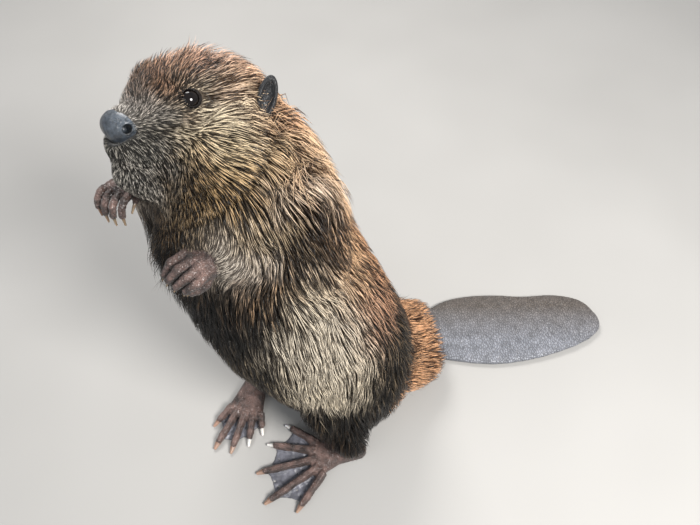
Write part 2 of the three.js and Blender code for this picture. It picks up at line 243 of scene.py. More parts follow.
def blurred(values, sigma):
    """Gaussian blur along the three axes, sigma in voxels."""
    reach = max(1, int(math.ceil(2.5 * sigma)))
    kernel = np.exp(-0.5 * (np.arange(-reach, reach + 1) / sigma) ** 2)
    kernel /= kernel.sum()
    for axis in range(3):
        padded = np.pad(values, [(reach, reach) if a == axis else (0, 0) for a in range(3)], mode="edge")
        total = np.zeros_like(values)
        for k, weight in enumerate(kernel):
            total += weight * np.take(padded, range(k, k + values.shape[axis]), axis=axis)
        values = total
    return values


def mesh_arrays(node):
    """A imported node's vertices, in millimetres, and its triangles."""
    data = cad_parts[node].data
    data.calc_loop_triangles()
    points = np.empty(len(data.vertices) * 3, np.float32)
    data.vertices.foreach_get("co", points)
    triangles = np.empty(len(data.loop_triangles) * 3, np.int32)
    data.loop_triangles.foreach_get("vertices", triangles)
    points, triangles = points.reshape(-1, 3) / MM, triangles.reshape(-1, 3)
    merged, where = np.unique(np.round(points, 3), axis=0, return_inverse=True)
    return merged, where.reshape(-1)[triangles]


# ---------------------------------------------------------------- the furred body below the tips of its coat

FURRED = ["trunk", "neck", "head", "tail_base"]
FURRED += [f"{part}_{side}" for part in ("forearm", "upper_arm", "leg") for side in ("left", "right")]
FILL = 7.0  # crevices narrower than twice this are filled
BAND = 20.0

WRISTS = {"left": row(-124, -52, 410), "right": row(-215, 44, 411)}
ANKLES = {"left": row(-19, -123, 0), "right": row(-143, -8, 0)}
FULLNESS = [  # where the coat is fuller than the solids, each an egg: middle and halves
    ((-80, -72, 64), (23, 23, 27)),  # above the heels
    ((-200, 41, 64), (23, 23, 27)),
    ((-80, -91, 25), (16, 17, 20)),  # over the near heel
    ((-266, 6, 366), (20, 22, 26)),  # hanging from the chest
    ((-157, 93, 467), (21, 21, 21)),  # nape
    ((-137, 61, 446), (21, 21, 21)),
    ((-120, 33, 428), (21, 21, 21)),
    ((-206.5, -26.4, 400), (10.5, 10.5, 10.5)),  # near wrist
]
TAIL_STARTS = 22.0  # the leather begins here, under the hair
TAIL_TAPER = 0.42  # how steeply the tail base narrows past its hair
TAIL_ROOT = row(140, 70, 18)
EYE_AT = {name: HEAD.out([-50.5, side * 38.0, 26.0]) for name, side in SIDES}  # on the outline of the coat
EAR_HALVES = np.array([4.2, 9.6, 21.5])


def ear_axes(side):
    lean, twist = -side * math.radians(10), side * math.radians(52)
    about_z = np.array([[math.cos(twist), -math.sin(twist), 0], [math.sin(twist), math.cos(twist), 0], [0, 0, 1]])
    about_x = np.array([[1, 0, 0], [0, math.cos(lean), -math.sin(lean)], [0, math.sin(lean), math.cos(lean)]])
    return Axes(HEAD.out([-118, side * 63.5, 32]), HEAD.matrix @ about_z @ about_x)


EARS = {name: ear_axes(side) for name, side in SIDES}
CROWN = HEAD.out([-62, 0, 62])
CROWN_DEPTH, CROWN_REACH = 8.0, 44.0  # the skin lies deeper under its upright hair


def coat_depth(p):
    """How far the skin lies below the tips of the coat."""
    behind = -HEAD.into(p)[..., 0]
    depth = 1.6 + 2.2 * smoothstep(behind, 18, 50) + 5.0 * smoothstep(behind, 45, 110)
    for wrist in WRISTS.values():
        depth = depth * (0.3 + 0.7 * smoothstep(apart(p, wrist), 12, 60))
    for ankle in ANKLES.values():
        depth = depth * (0.4 + 0.6 * smoothstep(apart(p, ankle), 30, 90))
    depth = depth + CROWN_DEPTH * bell(p, CROWN, CROWN_REACH)
    for eye in EYE_AT.values():
        depth = depth * (0.35 + 0.65 * smoothstep(apart(p, eye), 8, 24))
    return depth * (0.5 + 0.5 * smoothstep(apart(p, TAIL_ROOT), 25, 70))


def tail_border(p):
    """Above 0 beyond the line across the tail where its hair is rooted last."""
    return p[..., 0] - 48 + 0.2 * p[..., 1]


def as_triangles(quads):
    return np.concatenate([quads[:, [0, 1, 2]], quads[:, [0, 2, 3]]])


def box_of(nodes, margin):
    """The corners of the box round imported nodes, with a margin, in millimetres."""
    boxes = np.array([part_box(n) for n in nodes]) / MM
    return boxes[:, 0].min(axis=0) - margin, boxes[:, 1].max(axis=0) + margin


def joined(field, nodes, band):
    """Distances to the nearest of the nodes that come near the field's box."""
    high = field.low + field.voxel * np.array(field.shape)
    total = None
    for node in nodes:
        box = box_of([node], 0)
        if np.any(box[0] > high) or np.any(box[1] < field.low):
            continue
        part = field.level_set(*mesh_arrays(node), band)
        total = part if total is None else np.minimum(total, part)
    return total


def flesh(low, high, voxel, rounding):
    """The furred solids of a box, joined and rounded, less the coat's depth."""
    field = Field(low, high, voxel)
    field.value = joined(field, FURRED, FILL + 5)
    points, quads = field.surface(FILL)
    outline = field.level_set(points, as_triangles(quads), BAND) + FILL
    for middle, halves in FULLNESS:
        outline = join(outline, egg(field.points(), middle, halves), 14)
    for axes in EARS.values():
        outline = cut(outline, egg(axes.into(field.points()), (9, 0, -5), (11, 10.5, 19)), 6)
    taper = TAIL_TAPER * np.maximum(tail_border(field.points()) - 2, 0)  # it runs out into the paddle
    field.value = blurred(outline, rounding / voxel) + coat_depth(field.points()) + taper
    return field


def firm(nodes, voxel, rounding, grow, box):
    """Bare solids of a box, joined and rounded."""
    field = Field(*box, voxel)
    field.value = blurred(joined(field, nodes, 6.0), rounding / voxel) - grow
    return field


# ---------------------------------------------------------------- meshes and pieces


def add_piece(name, points, faces, material, nodes=(), tint=None, patches=None):
    """A mesh, given in millimetres, that rides on the body. patches are the coat's places on the unwrapped skin."""
    mesh = bpy.data.meshes.new(name)
    points, faces = np.asarray(points, np.float32) * MM, np.asarray(faces, np.int32)
    corners = faces.shape[1]
    mesh.vertices.add(len(points))
    mesh.vertices.foreach_set("co", points.reshape(-1))
    mesh.loops.add(faces.size)
    mesh.loops.foreach_set("vertex_index", faces.reshape(-1))
    mesh.polygons.add(len(faces))
    mesh.polygons.foreach_set("loop_start", np.arange(0, faces.size, corners, dtype=np.int32))
    mesh.update(calc_edges=True)
    mesh.polygons.foreach_set("use_smooth", np.full(len(faces), True))
    if tint is not None:
        layer = mesh.color_attributes.new("tint", "FLOAT_COLOR", "POINT")
        opaque = np.column_stack([tint, np.ones(len(tint))])
        layer.data.foreach_set("color", opaque.astype(np.float32).reshape(-1))
    if patches is not None:
        uv = mesh.uv_layers.new(name="OFBake")
        uv.data.foreach_set("uv", patches[faces.reshape(-1)].astype(np.float32).reshape(-1))
    mesh.materials.append(material)
    mesh.validate()
    obj = bpy.data.objects.new(name, mesh)
    bpy.context.scene.collection.objects.link(obj)
    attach(obj, "root")
    if nodes:
        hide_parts(*nodes)
    return obj


def linear(rgb):
    """An sRGB colour out of 255 as linear light."""
    c = np.asarray(rgb, float) / 255
    return np.where(c <= 0.04045, c / 12.92, ((c + 0.055) / 1.055) ** 2.4)


# ---------------------------------------------------------------- materials


class Look:
    """A Principled material built from procedural nodes."""

    def __init__(self, name, roughness, **constants):
        self.material = bpy.data.materials.new(name)
        self.material.use_nodes = True
        self.tree = self.material.node_tree
        self.shader = self.tree.nodes["Principled BSDF"]
        self.shader.inputs["Roughness"].default_value = roughness
        for key, value in constants.items():
            self.shader.inputs[key.replace("_", " ")].default_value = value
        self.place = self.tree.nodes.new("ShaderNodeTexCoord").outputs["Object"]
        self.normal = None  # of the reliefs added so far

    def node(self, kind, inputs=(), **settings):
        made = self.tree.nodes.new(kind)
        for key, value in settings.items():
            setattr(made, key, value)
        for key, value in dict(inputs).items():
            if isinstance(value, bpy.types.NodeSocket):
                self.tree.links.new(value, made.inputs[key])
            else:
                made.inputs[key].default_value = value
        return made

    def noise(self, size, detail=3.0):
        """Noise from 0 to 1 with features of that size in millimetres."""
        inputs = {"Vector": self.place, "Scale": 1 / (size * MM), "Detail": detail, "Roughness": 0.55}
        return self.node("ShaderNodeTexNoise", inputs).outputs["Fac"]

    def cells(self, size, vector=None):
        """How far the nearest edge between cells of that size is."""
        inputs = {"Vector": vector or self.place, "Scale": 1 / (size * MM)}
        return self.node("ShaderNodeTexVoronoi", inputs, feature="DISTANCE_TO_EDGE").outputs["Distance"]

    def span(self, value, low, high, to_low=0.0, to_high=1.0):
        inputs = {"Value": value, "From Min": low, "From Max": high, "To Min": to_low, "To Max": to_high}
        return self.node("ShaderNodeMapRange", inputs).outputs["Result"]

    def along(self, axis, vector=None):
        """One part of a vector, by itself of the place in metres."""
        return self.node("ShaderNodeSeparateXYZ", {"Vector": vector or self.place}).outputs[axis]

    def mix(self, share, a, b, blend="MIX"):
        a, b = (c if isinstance(c, bpy.types.NodeSocket) else (*c, 1.0) for c in (a, b))
        inputs = {0: share, 6: a, 7: b}
        return self.node("ShaderNodeMix", inputs, data_type="RGBA", blend_type=blend).outputs[2]

    def mottled(self, size, low, dark, light, detail=3.0):
        """Two sRGB colours mixed by noise, whose values past low and 1 - low are plain."""
        return self.mix(self.span(self.noise(size, detail), low, 1 - low), linear(dark), linear(light))

    def shaded(self, colour, factor):
        """The colour times a grey factor."""
        grey = self.node("ShaderNodeCombineColor", {0: factor, 1: factor, 2: factor}).outputs[0]
        return self.mix(1.0, colour, grey, "MULTIPLY")

    def tint(self):
        return self.node("ShaderNodeAttribute", attribute_name="tint").outputs["Color"]

    def paint(self, colour):
        self.tree.links.new(colour, self.shader.inputs["Base Color"])

    def rough(self, value):
        self.tree.links.new(value, self.shader.inputs["Roughness"])

    def bump(self, height, depth):
        """Adds a relief `depth` millimetres deep."""
        inputs = {"Height": height, "Distance": depth * MM, "Strength": 1.0}
        if self.normal is not None:
            inputs["Normal"] = self.normal
        self.normal = self.node("ShaderNodeBump", inputs).outputs["Normal"]
        self.tree.links.new(self.normal, self.shader.inputs["Normal"])


def coat_look():
    look = Look("coat", 0.34, Specular_IOR_Level=0.4)
    grain = look.span(look.noise(1.6, 2.0), 0.3, 0.7, 0.82, 1.16)
    look.paint(look.shaded(look.tint(), grain))
    look.rough(look.span(look.noise(9.0, 2.0), 0.3, 0.7, 0.27, 0.42))
    look.bump(look.noise(0.7, 2.0), 0.08)
    return look.material


def undercoat_look():
    look = Look("undercoat", 0.85, Specular_IOR_Level=0.3, Sheen_Weight=0.2)
    grain = look.span(look.noise(2.2, 4.0), 0.3, 0.7, 0.6, 1.2)
    look.paint(look.shaded(look.tint(), grain))
    look.bump(look.noise(1.6, 4.0), 0.5)
    return look.material


def bare_look(name, dark, light, sheen, roughness, crease=2.6, depth=0.35, shine=0.5):
    """Wet bare skin with fine creases, and painted shade: darker on its sides and underside, lighter on top."""
    look = Look(name, roughness, Specular_IOR_Level=shine, Sheen_Weight=sheen)
    normal = look.node("ShaderNodeNewGeometry").outputs["Normal"]
    painted_shade_by_facing = look.span(look.along("Z", normal), -0.1, 0.95, 0.3, 1.2)  # painted shade: darker on the sides and below, lighter where the skin faces up
    fine = look.span(look.noise(1.3, 3.0), 0.3, 0.7, 0.75, 1.2)
    look.paint(look.shaded(look.shaded(look.mottled(15.0, 0.34, dark, light, detail=4.0), painted_shade_by_facing), fine))
    look.rough(look.span(look.noise(6.0, 3.0), 0.3, 0.7, roughness - 0.12, roughness + 0.14))
    look.bump(look.span(look.cells(crease), 0.0, 0.16), depth)
    look.bump(look.noise(0.8, 3.0), depth * 0.5)
    return look.material


def tail_look():
    """Slate grey leather with small scales in rows across the paddle, browner on its far half."""
    look = Look("tail_scales", 0.42, Specular_IOR_Level=0.55)
    stretched = look.node("ShaderNodeMapping", {"Vector": look.place, "Scale": (1.0, 0.62, 1.0)}).outputs["Vector"]
    scale = look.span(look.cells(SCALE_SIZE, stretched), 0.0, 0.2)
    far_half = look.span(look.along("Y"), 0.075, 0.14)
    slate = look.mottled(16.0, 0.3, (106, 108, 114), (138, 140, 148), detail=4.0)
    brown = look.mottled(12.0, 0.3, (82, 75, 69), (104, 96, 90), detail=4.0)
    tone = look.mix(far_half, slate, brown)
    look.paint(look.mix(look.span(scale, 0.0, 1.0, 0.4, 1.0), linear((26, 24, 26)), tone))
    look.rough(look.span(look.noise(14.0, 4.0), 0.3, 0.7, 0.3, 0.55))
    look.bump(scale, 0.5)
    look.bump(look.noise(1.1, 3.0), 0.12)
    return look.material


def claw_look():
    look = Look("claw_horn", 0.35, Specular_IOR_Level=0.5, Subsurface_Weight=0.08)
    grain = look.span(look.noise(2.0, 3.0), 0.3, 0.7, 0.85, 1.1)
    look.paint(look.shaded(look.tint(), grain))
    look.bump(look.noise(1.2, 3.0), 0.12)
    return look.material


def nose_look():
    look = Look("nose_leather", 0.34, Specular_IOR_Level=0.7, Coat_Weight=0.4, Coat_Roughness=0.2)
    # the dark tone below is the leather's own dark grey deepened with painted shade; the pale tone above is a
    # painted highlight
    dark = look.mottled(3.5, 0.25, (9, 10, 12), (26, 30, 36))
    painted_lit_top = look.mottled(3.0, 0.25, (24, 28, 33), (74, 84, 95))
    tone = look.mix(look.span(look.along("Z"), NOSE_SHADE_BELOW, NOSE_HIGHLIGHT_ABOVE), dark, painted_lit_top)
    # painted shade: the nose is painted nearly black within about 5 mm of each nostril, the shadow in its hollow
    for side in (1, -1):
        ends = {0: look.place, 1: tuple(HEAD.out([-5.0, side * 13.0, -3.6]) * MM)}  # the second is the nostril
        away = look.node("ShaderNodeVectorMath", ends, operation="DISTANCE").outputs["Value"]
        tone = look.mix(look.span(away, 0.0042, 0.0062), linear((3, 3, 4)), tone)
    look.paint(tone)
    look.bump(look.span(look.cells(1.1), 0.0, 0.25), 0.22)
    look.bump(look.noise(3.0, 2.0), 0.3)
    return look.material


def eye_look():
    look = Look("eyeball", 0.05, Specular_IOR_Level=0.25, Coat_Weight=0.4, Coat_Roughness=0.02)
    look.paint(look.mottled(5.0, 0.35, (9, 8, 9), (20, 15, 13), detail=2.0))
    look.bump(look.noise(7.0, 1.0), 0.02)
    return look.material


SCALE_SIZE = 3.1
NOSE_SHADE_BELOW, NOSE_HIGHLIGHT_ABOVE = 0.492, 0.514  # painted light: the nose is paler above as a painted highlight and darker below as painted shade

COAT = coat_look()
UNDERCOAT = undercoat_look()
BARE = bare_look("bare_skin", (46, 37, 34), (110, 88, 81), 0.1, 0.34)
WEBBING = bare_look("web_skin", (72, 72, 78), (102, 102, 110), 0.1, 0.42, crease=9.0, depth=0.07)
LID = bare_look("lid_skin", (10, 9, 8), (28, 22, 19), 0.0, 0.55, crease=1.6, depth=0.2, shine=0.2)
EAR_SKIN = bare_look("ear_skin", (5, 6, 8), (22, 25, 31), 0.1, 0.45, crease=2.0, depth=0.2)
TAIL = tail_look()
HORN = claw_look()
NOSE = nose_look()
EYEBALL = eye_look()

# ---------------------------------------------------------------- markings


COLUMN = np.array(  # places along the middle of the body, in the solids' own measure
    [[-16, 2, 10], [-34, 8, 125], [-62, 12, 205], [-84, 22, 285], [-106, 48, 400], [-126, 74, 470]]
)


def stay(p):
    return np.array(p, float)


def across_head(p):
    q = HEAD.into(p)
    q[..., 1] *= -1
    return HEAD.out(q)


def across_body(p):
    p = stay(p)
    column = row(*(np.interp(p[2], COLUMN[:, 2], COLUMN[:, i]) for i in (0, 1)), p[2])
    return p - 2 * ((p - column) @ BODY_SIDE) * BODY_SIDE


def spread(rows, places, *ways):
    """Each row once for each way to carry its places over; they are its first entries, as many as given."""
    return [(*(way(p) for p in entries[:places]), *entries[places:]) for entries in rows for way in ways]


# The colours are the coat as seen: its pale hair is partly its own colour, partly painted sheen of the wet coat,
# and its darkest marks hold painted shade.
# centre, reach, colour of the light hair, colour of the dark hair, share of light hair
HEAD_MARKS = [
    ((-262, 50, 524), 18.5, (252, 247, 240), (206, 196, 184), 0.95),  # top of the muzzle
    ((-252, 43, 514), 18, (120, 112, 98), (14, 12, 10), 0.12),  # side of the muzzle
    ((-266, 26, 500), 20, (138, 134, 124), (20, 18, 16), 0.16),  # upper lip
    ((-262, 14, 474), 26, (184, 178, 168), (40, 36, 32), 0.36),  # chin
    ((-262, 75, 528), 24, (70, 50, 32), (12, 8, 5), 0.03),  # forehead
    ((-243, 89, 532), 24, (182, 138, 104), (32, 21, 13), 0.38),
    ((-222, 108, 524), 34, (222, 178, 152), (40, 25, 18), 0.42),  # crown
    ((-217, 84, 519), 29, (34, 27, 21), (6, 5, 4), 0.0),  # brow
    ((-238, 64, 520), 15, (134, 118, 94), (24, 19, 15), 0.4),  # in front of the eye
    ((-193, 77, 504), 28, (130, 122, 116), (6, 6, 6), 0.08),  # slate streaks behind the eye
    ((-212, 58, 506), 20, (255, 242, 212), (170, 140, 108), 0.95),  # below the eye
    ((-188, 48, 492), 34, (255, 238, 202), (54, 40, 28), 0.62),  # cheek
    ((-200, 22, 478), 28, (198, 160, 108), (22, 15, 10), 0.22),
    ((-224, 14, 478), 23, (92, 72, 48), (13, 9, 6), 0.08),  # jaw
    ((-180, 84, 496), 22, (255, 224, 182), (220, 156, 108), 1.0),  # before the ear
    ((-150, 75, 486), 27, (180, 124, 88), (34, 21, 14), 0.2),  # behind the ear
]
BODY_MARKS = [
    ((-225, -10, 440), 32, (122, 98, 62), (24, 18, 12), 0.28),  # throat, its own brown darkened with painted shade
    ((-150, 15, 462), 34, (192, 156, 106), (36, 25, 16), 0.32),  # side of the neck
    ((-112, 60, 450), 46, (255, 214, 172), (150, 100, 66), 0.92),  # nape
    ((-129, 51, 457), 26, (250, 220, 184), (80, 56, 40), 0.72),
    ((-147, 16, 450), 17, (255, 244, 230), (70, 60, 54), 0.75),
    ((-114, 16, 455), 18, (255, 246, 238), (110, 100, 94), 0.85),  # shoulder
    ((-131, -4, 436), 38, (44, 41, 39), (6, 6, 6), 0.0),  # behind the arm, painted shadow in the armpit
    ((-165, -15, 432), 22, (236, 212, 176), (48, 36, 26), 0.4),  # upper arm
    ((-196, -34, 408), 31, (255, 244, 228), (255, 232, 210), 1.0),  # forearm
    ((-168, -42, 372), 28, (136, 94, 48), (24, 15, 8), 0.15),  # below the forearm, amber fur darkened with painted shadow under the forearm
    ((-125, -42, 345), 32, (240, 226, 200), (68, 53, 40), 0.7),
    ((-112, -62, 280), 48, (255, 242, 220), (118, 96, 74), 0.9),  # flank
    ((-112, -84, 202), 44, (255, 240, 214), (110, 90, 68), 0.92),
    ((-222, -50, 320), 50, (36, 27, 19), (8, 6, 4), 0.03),  # belly, painted shade: turned away from the light, its greyish-brown fur is painted near black
    ((-190, -75, 230), 42, (92, 78, 56), (20, 15, 10), 0.25),
    ((-82, 18, 345), 34, (252, 212, 168), (130, 88, 57), 0.84),  # edge of the back
    ((-50, 2, 262), 36, (194, 148, 118), (60, 38, 27), 0.5),
    ((-40, 80, 330), 80, (208, 158, 118), (66, 42, 27), 0.45),  # back
    ((-40, -12, 172), 48, (96, 82, 64), (17, 13, 11), 0.2),  # edge of the rump
    ((-105, -97, 100), 44, (62, 50, 36), (13, 9, 7), 0.1),  # lower thigh
    ((-108, -108, 45), 32, (70, 56, 43), (18, 13, 9), 0.2),
    ((-205, 25, 380), 55, (96, 76, 54), (23, 17, 12), 0.28),  # chest, its own brown darkened with painted shade
]
TAIL_MARKS = [((34, 56, 62), 52, (246, 190, 144), (104, 60, 36), 0.62)]


MARKS = spread(HEAD_MARKS, 1, stay, across_head) + spread(BODY_MARKS, 1, stay, across_body)
MARKS += spread(TAIL_MARKS, 1, stay)
PALEST = 0.93
LIGHT_GAIN, DARK_GAIN = 1.7, 0.3  # wet hair: the marks are seen colours, with shine and shadow in them


def markings(p):
    """Light colour, dark colour and share of light hair at places on the skin."""
    q = p + 5.0 * np.column_stack([waves(p, 34, 11), waves(p, 34, 12), waves(p, 34, 13)])
    weight = np.zeros((len(p), len(MARKS)), np.float32)
    for k, (at, reach, *_) in enumerate(MARKS):
        weight[:, k] = weight_of(q, at, reach)
    weight /= weight.sum(axis=1, keepdims=True)
    light = weight @ np.array([linear(m[2]) for m in MARKS]) * LIGHT_GAIN
    dark = weight @ np.array([linear(m[3]) for m in MARKS]) * DARK_GAIN
    return light, dark, weight @ np.array([m[4] for m in MARKS])


# ---------------------------------------------------------------- the lie of the coat

# start, end, reach: the hair near the middle of the two points runs from the first to the second
HEAD_STROKES = [
    ((-270, 53, 520), (-255, 72, 532), 20),
    ((-259, 65, 529), (-243, 89, 532), 22),
    ((-233, 74, 527), (-215, 105, 524), 26),
    ((-220, 75, 521), (-187, 100, 504), 24),
    ((-213, 70, 514), (-176, 84, 497), 22),
    ((-213, 54, 504), (-162, 56, 490), 26),
    ((-225, 42, 498), (-165, 27, 472), 28),
    ((-240, 31, 493), (-205, 3, 464), 24),
    ((-254, 43, 516), (-236, 43, 508), 16),
    ((-235, 54, 517), (-213, 58, 506), 16),
    ((-271, 27, 507), (-258, 18, 486), 18),
    ((-268, 21, 499), (-258, 15, 460), 20),
    ((-248, 16, 459), (-229, -12, 440), 24),
    ((-161, 77, 492), (-134, 57, 458), 24),
    ((-190, 120, 505), (-150, 130, 470), 40),
]
BODY_STROKES = [
    ((-215, -6, 452), (-218, -20, 415), 28),
    ((-170, 30, 479), (-132, -2, 446), 28),
    ((-147, 70, 477), (-113, 21, 449), 28),
    ((-146, 17, 454), (-113, -18, 410), 26),
    ((-176, 1, 453), (-163, -24, 411), 26),
    ((-170, -30, 408), (-212, -38, 404), 24),
    ((-134, -25, 400), (-108, -29, 333), 34),
    ((-148, -38, 366), (-131, -59, 302), 40),
    ((-121, -51, 308), (-110, -80, 211), 50),
    ((-110, -80, 211), (-110, -98, 87), 50),
    ((-89, 3, 341), (-52, -22, 249), 44),
    ((-222, -48, 348), (-195, -71, 242), 50),
    ((-52, -30, 239), (-65, -73, 156), 40),
    ((-161, -81, 228), (-129, -95, 103), 44),
    ((-70, 100, 430), (-30, 90, 330), 60),
    ((-30, 80, 320), (0, 60, 200), 60),
    ((0, 50, 200), (40, 60, 110), 50),
    ((-200, 20, 420), (-210, 10, 330), 60),
]
TAIL_STROKES = [
    ((0, 20, 120), (60, 62, 72), 40),
    ((20, 60, 90), (90, 76, 50), 50),
    ((10, 0, 60), (60, 22, 20), 40),
    ((30, 90, 80), (70, 120, 30), 36),
]


STROKES = spread(HEAD_STROKES, 2, stay, across_head) + spread(BODY_STROKES, 2, stay, across_body)
STROKES += spread(TAIL_STROKES, 2, stay)


def lie(p, normal):
    """The way the hair points along the skin."""
    total = np.zeros_like(p)
    for a, b, reach in STROKES:
        total += weight_of(p, (a + b) / 2, reach)[:, None] * norm(b - a)
    total -= (total * normal).sum(axis=1, keepdims=True) * normal
    return norm(total)


# ---------------------------------------------------------------- skin

FINE = 1.0  # a quick build uses voxels twice as wide
HEAD_MIDDLE = HEAD.out([-62, 0, -4])
HEAD_REACH = 96.0

BODY_VOXEL, HEAD_VOXEL, HIDDEN_VOXEL = 3.0 * FINE, 1.4 * FINE, 4.5 * FINE
LID_VOXEL, GLOBE_VOXEL, NOSE_VOXEL, EAR_VOXEL = 0.6 * FINE, 0.45 * FINE, 0.55 * FINE, 0.7 * FINE
PAW_VOXEL, FOOT_VOXEL, WEB_VOXEL, TAIL_VOXEL = 0.7 * FINE, 0.95 * FINE, 1.0 * FINE, 1.9 * FINE

body = flesh([-345, -190, -12], [200, 190, 545], BODY_VOXEL, 6.0)
skull = flesh(HEAD_MIDDLE - HEAD_REACH - 6, HEAD_MIDDLE + HEAD_REACH + 6, HEAD_VOXEL, 3.2)

NOSE_AT = np.array([-8.0, 0, -3])
NOSE_HALVES = np.array([14.5, 16.5, 15])


def nose_edge(q):
    """Above 0 in front of the line where the fur of the muzzle begins; further forward above."""
    return q[..., 0] + 11.5 - 0.85 * (q[..., 2] - NOSE_AT[2]) - 0.9 * np.sin(q[..., 1] * 0.7 + q[..., 2] * 0.5)


def sculpt_face(field):
    """Muzzle pads, lips, chin and brow, in the head's own frame."""
    p = field.points()
    q = HEAD.into(p).astype(np.float32)
    d = field.value
    side = as_left(q)
    d = join(d, egg(side, (-20, 12, -20), (14, 13, 13)), 8)  # pads of the upper lip
    d = join(d, egg(side, (-60, 25, 38), (17, 10, 6)), 8)  # brow
    d = join(d, egg(side, (-22, 0, -45), (17, 17, 15)), 8)  # chin
    collar = egg(side, (-13, 0, -2), (14, 17.3, 15.6))  # the fur comes up round the nose
    d = join(d, np.maximum(collar, nose_edge(q) + 0.5), 3)
    mouth = limb(side, (-5, 4, -33), (-18, 18, -36), 0.8, 1.2)
    mouth = np.minimum(mouth, limb(side, (-18, 18, -36), (-42, 31, -40), 1.2, 1.0))
    d = cut(d, mouth, 2.0)
    d = cut(d, limb(q, (4, 0, -16), (-4, 0, -30), 0.9, 1.1), 2.0)  # cleft of the lip
    field.value = d


EYE_RADIUS = 9.2
EYE_STANDS_OUT = 4.6
LID_RIM = 0.6  # half the thickness of the lids' edge
EYES = {}
for name in EYE_AT:
    at = skull.hold(EYE_AT[name][None], 0)[0]
    outward = skull.gradient(at[None])[0]
    along = HEAD.matrix @ np.array([1.0, 0, -0.12])
    along = norm(along - (along @ outward) * outward)
    EYES[name] = (at - outward * (EYE_RADIUS - EYE_STANDS_OUT), outward, along, np.cross(outward, along))

sculpt_face(skull)


def skin_tint(p):
    light, dark, share = markings(p)
    return (0.8 * dark + 0.03 * light).astype(np.float32)


def add_skin(name, field, material, nodes, tinted=False):
    points, quads = field.surface()
    add_piece(name, points, quads, material, nodes, tint=skin_tint(points) if tinted else None)


# eyes with their lids
LID_CIRCLE = math.sqrt(EYE_RADIUS**2 - (EYE_RADIUS - EYE_STANDS_OUT) ** 2)
for name, (centre, outward, along, upward) in EYES.items():
    lids = Field(centre - 15, centre + 15, LID_VOXEL)
    p = lids.points()
    rel = p - centre.astype(np.float32)
    x, y, z = rel @ along, rel @ upward, rel @ outward
    around = np.sqrt(x**2 + y**2)
    brow_lid = smoothstep(y / np.maximum(around, 1e-3), -0.4, 1.0)
    rim_height = EYE_RADIUS - EYE_STANDS_OUT + 0.9 + 0.9 * brow_lid
    rim = np.hypot(around - LID_CIRCLE - 0.35 + 0.7 * brow_lid, z - rim_height) - LID_RIM * (1 + 0.35 * brow_lid)
    corner = np.stack([np.abs(x), y, z], axis=-1)
    rim = join(rim, limb(corner, (LID_CIRCLE, 0, rim_height.mean()), (LID_CIRCLE + 2.6, -0.6, 2.6), 0.9, 0.5), 1.0)
    d = join(skull.sample(p) + 0.1, rim, 1.6)
    d = cut(d, ball(p, centre, EYE_RADIUS + 0.12), 0.3)
    lids.value = np.maximum(d, ball(p, centre + outward * 2, LID_CIRCLE + 3.6))
    add_skin(f"lids_{name}", lids, LID, ())
    globe = Field(centre - 11, centre + 11, GLOBE_VOXEL)
    globe.value = ball(globe.points(), centre, EYE_RADIUS)
    add_skin(f"eye_{name}_globe", globe, EYEBALL, (f"eye_{name}",))
for centre, *_ in EYES.values():
    skull.value = cut(skull.value, ball(skull.points(), centre, EYE_RADIUS + 0.6), 0.6)

# nose pad
nose = Field(HEAD.out(NOSE_AT) - 24, HEAD.out(NOSE_AT) + 24, NOSE_VOXEL)
q = HEAD.into(nose.points()).astype(np.float32)
q[..., 1] /= 1 + 0.016 * (q[..., 2] - NOSE_AT[2])  # narrower below
d = egg(q, NOSE_AT, NOSE_HALVES)
side = as_left(q)
d = join(d, egg(side, (-7, 11.0, -4), (9.5, 6.0, 9)), 4)  # wings
d = cut(d, limb(q, (8, 0, -6), (2, 0, -18), 0.8, 1.0), 2.2)
d = join(d, skull.sample(nose.points()) + 0.6, 2.5)


def nostril(side):
    """The hole and the slit that runs back from it, in the head's frame with both sides as the left one."""
    hole = limb(side, (-3.0, 18.0, -3.0), (-8.0, 6.0, -4.5), 4.2, 2.8)
    return join(hole, limb(side, (-5, 17.5, -1.5), (-11, 17.5, 2.0), 1.8, 0.7), 1.5)


nose.value = np.maximum(cut(d, nostril(side), 1.0), egg(q, NOSE_AT, NOSE_HALVES + 1.6))
nose.value = np.maximum(nose.value, -1.5 - nose_edge(q))
q = HEAD.into(skull.points()).astype(np.float32)
side = as_left(q)
skull.value = cut(skull.value, nostril(side) - 0.4, 0.5)
add_skin("nose_pad", nose, NOSE, ("nose",))

# ears
for name, axes in EARS.items():
    ear = Field(axes.origin - 24, axes.origin + 24, EAR_VOXEL)
    q = axes.into(ear.points()).astype(np.float32)
    outer = egg(q, (0, 0, 0), EAR_HALVES)
    bowl = egg(q, (5.0, 0, 1.0), (6.2, 7.0, 17.8))
    ear.value = cut(outer, bowl, 1.6)
    add_skin(f"ear_{name}_flap", ear, EAR_SKIN, (f"ear_{name}",))

skull.value = np.maximum(skull.value, ball(skull.points(), HEAD_MIDDLE, HEAD_REACH))
add_skin("skin_head", skull, UNDERCOAT, ("head",), tinted=True)

# paws, feet and tail
NEAR_WRIST = [(-202, -22.5, 396), (-214.5, -26.7, 402.4)]
NEAR_FINGERS = [  # the near forepaw folded as in the photo: knuckle, middle joint, tip, point of the claw
    ((-222.0, -44.0, 391.2), (-230.0, -47.7, 386.4), (-236.2, -49.0, 383.1), (-241.5, -50.4, 379.8)),  # thumb
    ((-243.3, -22.5, 406.3), (-253.9, -29.1, 404.4), (-260.9, -36.9, 395.8), (-264.1, -39.5, 389.3)),
    ((-233.2, -29.7, 408.8), (-244.6, -39.4, 408.5), (-254.6, -45.7, 399.6), (-257.7, -48.0, 393.4)),
    ((-225.6, -37.3, 408.6), (-234.9, -48.1, 408.8), (-246.1, -52.9, 400.9), (-249.2, -54.8, 394.9)),
    ((-219.9, -44.0, 405.5), (-226.5, -53.9, 406.2), (-236.4, -57.4, 400.3), (-239.4, -58.8, 394.6)),
]


